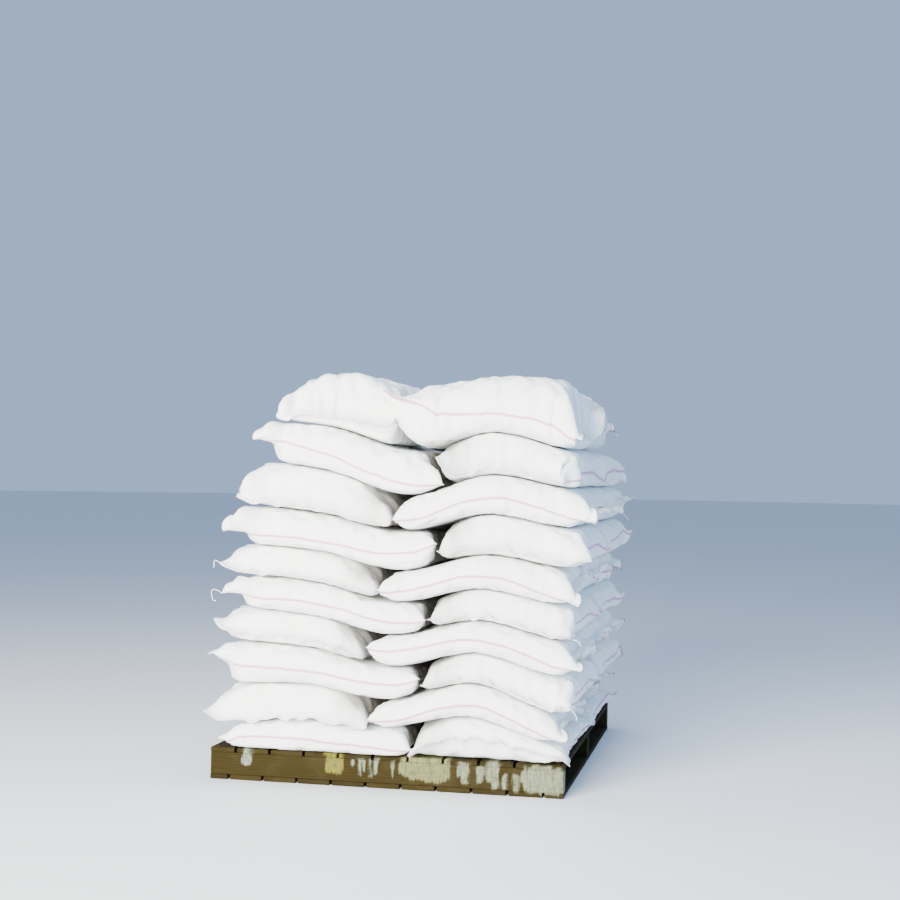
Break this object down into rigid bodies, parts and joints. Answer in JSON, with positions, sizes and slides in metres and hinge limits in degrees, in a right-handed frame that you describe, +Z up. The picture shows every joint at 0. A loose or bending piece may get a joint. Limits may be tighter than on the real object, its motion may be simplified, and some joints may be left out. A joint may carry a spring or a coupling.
{
  "type": "pallet of sacks",
  "caption": "Two-way wooden pallet stacked with layers of full white woven sacks, laid in an alternating pattern, with a slight lean.",
  "frame": {"origin": "centre of the bounding box at floor level, under the pallet's bottom boards", "axes": "+X along the pallet's stringers, towards the side that the stack leans to; +Y from the front face to the back; +Z up"},
  "size_m": [1.498, 1.5294, 1.6027],
  "materials": {
    "woven_sack": "white woven polypropylene tape cloth, slightly satin, with a thin pink stripe along each side fold and dust in the creases",
    "pallet_wood": "rough sawn softwood, weathered brown and ochre, with pale scuffs and drips on the front"
  },
  "bodies": {
    "root": {"stringer_front": "pallet_wood", "stringer_middle": "pallet_wood", "stringer_back": "pallet_wood", "top_deck_boards": "pallet_wood", "bottom_deck_boards": "pallet_wood", "sack_01_left_front": "woven_sack", "sack_01_left_middle": "woven_sack", "sack_01_left_back": "woven_sack", "sack_01_right_front": "woven_sack", "sack_01_right_back": "woven_sack", "sack_02_left_front": "woven_sack", "sack_02_left_back": "woven_sack", "sack_02_right_front": "woven_sack", "sack_02_right_middle": "woven_sack", "sack_02_right_back": "woven_sack", "sack_03_left_front": "woven_sack", "sack_03_left_middle": "woven_sack", "sack_03_left_back": "woven_sack", "sack_03_right_front": "woven_sack", "sack_03_right_back": "woven_sack", "sack_04_left_front": "woven_sack", "sack_04_left_back": "woven_sack", "sack_04_right_front": "woven_sack", "sack_04_right_middle": "woven_sack", "sack_04_right_back": "woven_sack", "sack_05_left_front": "woven_sack", "sack_05_left_middle": "woven_sack", "sack_05_left_back": "woven_sack", "sack_05_right_front": "woven_sack", "sack_05_right_back": "woven_sack", "sack_06_left_front": "woven_sack", "sack_06_left_back": "woven_sack", "sack_06_right_front": "woven_sack", "sack_06_right_middle": "woven_sack", "sack_06_right_back": "woven_sack", "sack_07_left_front": "woven_sack", "sack_07_left_middle": "woven_sack", "sack_07_left_back": "woven_sack", "sack_07_right_front": "woven_sack", "sack_07_right_back": "woven_sack", "sack_08_left_front": "woven_sack", "sack_08_left_back": "woven_sack", "sack_08_right_front": "woven_sack", "sack_08_right_middle": "woven_sack", "sack_08_right_back": "woven_sack", "sack_09_left_front": "woven_sack", "sack_09_left_middle": "woven_sack", "sack_09_left_back": "woven_sack", "sack_09_right_front": "woven_sack", "sack_09_right_back": "woven_sack", "sack_10_left_front": "woven_sack", "sack_10_left_back": "woven_sack", "sack_10_right_front": "woven_sack", "sack_10_right_middle": "woven_sack", "sack_10_right_back": "woven_sack"}
  },
  "joints": []
}
